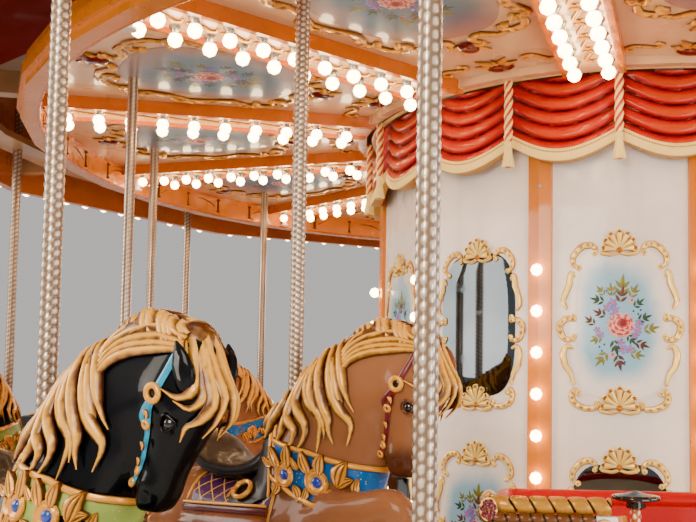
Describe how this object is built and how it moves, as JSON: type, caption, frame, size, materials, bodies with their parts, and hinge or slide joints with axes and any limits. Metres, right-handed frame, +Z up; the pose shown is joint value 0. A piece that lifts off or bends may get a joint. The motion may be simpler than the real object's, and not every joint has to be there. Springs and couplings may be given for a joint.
{
  "type": "fairground carousel",
  "caption": "Fairground carousel with a turning deck and lit ceiling round a standing mirrored core, jumping horses on brass poles and two chariots.",
  "frame": {"origin": "on the ground under the axis of rotation", "axes": "+Z up along the axis; the picture was taken from the -Y side"},
  "size_m": [6.4686, 6.4686, 4.4303],
  "materials": {
    "cord_cream": "gloss cream",
    "cream_panel": "gloss cream enamel",
    "deck_boards": "varnished boards",
    "drapery_red": "gloss red moulded glass fibre",
    "frame_steel": "satin grey enamel",
    "gilt": "gold leaf paint",
    "horse_black": "gloss black glass fibre",
    "horse_tan": "gloss brown glass fibre",
    "orange_paint": "gloss orange enamel",
    "pole_brass": "embossed, polished",
    "upholstery": "red buttoned leathercloth"
  },
  "bodies": {
    "base": {"base_frame": "frame_steel", "mast": "frame_steel", "core_drum": "cream_panel", "core_trim": "orange_paint", "valance": "drapery_red", "valance_ropes": "cord_cream"},
    "turntable": {"deck": "deck_boards", "ceiling": "cream_panel", "light_beams": "orange_paint", "rim": "orange_paint", "sweeps": "frame_steel", "rounding_boards": "orange_paint", "roof_canopy": "cream_panel", "finial": "gilt", "chariot_body_1": "cream_panel", "chariot_seat_1": "upholstery", "chariot_roll_1": "gilt", "grip_post_1": "gilt", "fixed_pole_1": "pole_brass", "chariot_body_2": "cream_panel", "chariot_seat_2": "upholstery", "chariot_roll_2": "gilt", "grip_post_2": "gilt", "fixed_pole_2": "pole_brass"},
    "outer_ride_1": {"outer_horse_1": "horse_black", "outer_pole_1": "pole_brass"},
    "outer_ride_2": {"outer_horse_2": "horse_black", "outer_pole_2": "pole_brass"},
    "outer_ride_3": {"outer_horse_3": "horse_black", "outer_pole_3": "pole_brass"},
    "outer_ride_4": {"outer_horse_4": "horse_black", "outer_pole_4": "pole_brass"},
    "outer_ride_7": {"outer_horse_7": "horse_black", "outer_pole_7": "pole_brass"},
    "outer_ride_8": {"outer_horse_8": "horse_black", "outer_pole_8": "pole_brass"},
    "outer_ride_9": {"outer_horse_9": "horse_black", "outer_pole_9": "pole_brass"},
    "outer_ride_10": {"outer_horse_10": "horse_black", "outer_pole_10": "pole_brass"},
    "inner_ride_0": {"inner_horse_0": "horse_tan", "inner_pole_0": "pole_brass"},
    "inner_ride_1": {"inner_horse_1": "horse_tan", "inner_pole_1": "pole_brass"},
    "inner_ride_2": {"inner_horse_2": "horse_tan", "inner_pole_2": "pole_brass"},
    "inner_ride_3": {"inner_horse_3": "horse_tan", "inner_pole_3": "pole_brass"},
    "inner_ride_6": {"inner_horse_6": "horse_tan", "inner_pole_6": "pole_brass"},
    "inner_ride_7": {"inner_horse_7": "horse_tan", "inner_pole_7": "pole_brass"},
    "inner_ride_8": {"inner_horse_8": "horse_tan", "inner_pole_8": "pole_brass"},
    "inner_ride_9": {"inner_horse_9": "horse_tan", "inner_pole_9": "pole_brass"}
  },
  "joints": [
    {"name": "turntable_spin", "type": "hinge", "parent": "base", "child": "turntable", "pos_m": [0, 0, 0], "axis": [0, 0, 1], "continuous": true},
    {"name": "outer_jump_1", "type": "slide", "parent": "turntable", "child": "outer_ride_1", "axis": [0, 0, 1], "range_m": [-0.15, 0.15]},
    {"name": "outer_jump_2", "type": "slide", "parent": "turntable", "child": "outer_ride_2", "axis": [0, 0, 1], "range_m": [-0.15, 0.15]},
    {"name": "outer_jump_3", "type": "slide", "parent": "turntable", "child": "outer_ride_3", "axis": [0, 0, 1], "range_m": [-0.15, 0.15]},
    {"name": "outer_jump_4", "type": "slide", "parent": "turntable", "child": "outer_ride_4", "axis": [0, 0, 1], "range_m": [-0.15, 0.15]},
    {"name": "outer_jump_7", "type": "slide", "parent": "turntable", "child": "outer_ride_7", "axis": [0, 0, 1], "range_m": [-0.15, 0.15]},
    {"name": "outer_jump_8", "type": "slide", "parent": "turntable", "child": "outer_ride_8", "axis": [0, 0, 1], "range_m": [-0.15, 0.15]},
    {"name": "outer_jump_9", "type": "slide", "parent": "turntable", "child": "outer_ride_9", "axis": [0, 0, 1], "range_m": [-0.15, 0.15]},
    {"name": "outer_jump_10", "type": "slide", "parent": "turntable", "child": "outer_ride_10", "axis": [0, 0, 1], "range_m": [-0.15, 0.15]},
    {"name": "inner_jump_0", "type": "slide", "parent": "turntable", "child": "inner_ride_0", "axis": [0, 0, 1], "range_m": [-0.15, 0.15]},
    {"name": "inner_jump_1", "type": "slide", "parent": "turntable", "child": "inner_ride_1", "axis": [0, 0, 1], "range_m": [-0.15, 0.15]},
    {"name": "inner_jump_2", "type": "slide", "parent": "turntable", "child": "inner_ride_2", "axis": [0, 0, 1], "range_m": [-0.15, 0.15]},
    {"name": "inner_jump_3", "type": "slide", "parent": "turntable", "child": "inner_ride_3", "axis": [0, 0, 1], "range_m": [-0.15, 0.15]},
    {"name": "inner_jump_6", "type": "slide", "parent": "turntable", "child": "inner_ride_6", "axis": [0, 0, 1], "range_m": [-0.15, 0.15]},
    {"name": "inner_jump_7", "type": "slide", "parent": "turntable", "child": "inner_ride_7", "axis": [0, 0, 1], "range_m": [-0.15, 0.15]},
    {"name": "inner_jump_8", "type": "slide", "parent": "turntable", "child": "inner_ride_8", "axis": [0, 0, 1], "range_m": [-0.15, 0.15]},
    {"name": "inner_jump_9", "type": "slide", "parent": "turntable", "child": "inner_ride_9", "axis": [0, 0, 1], "range_m": [-0.15, 0.15]}
  ]
}
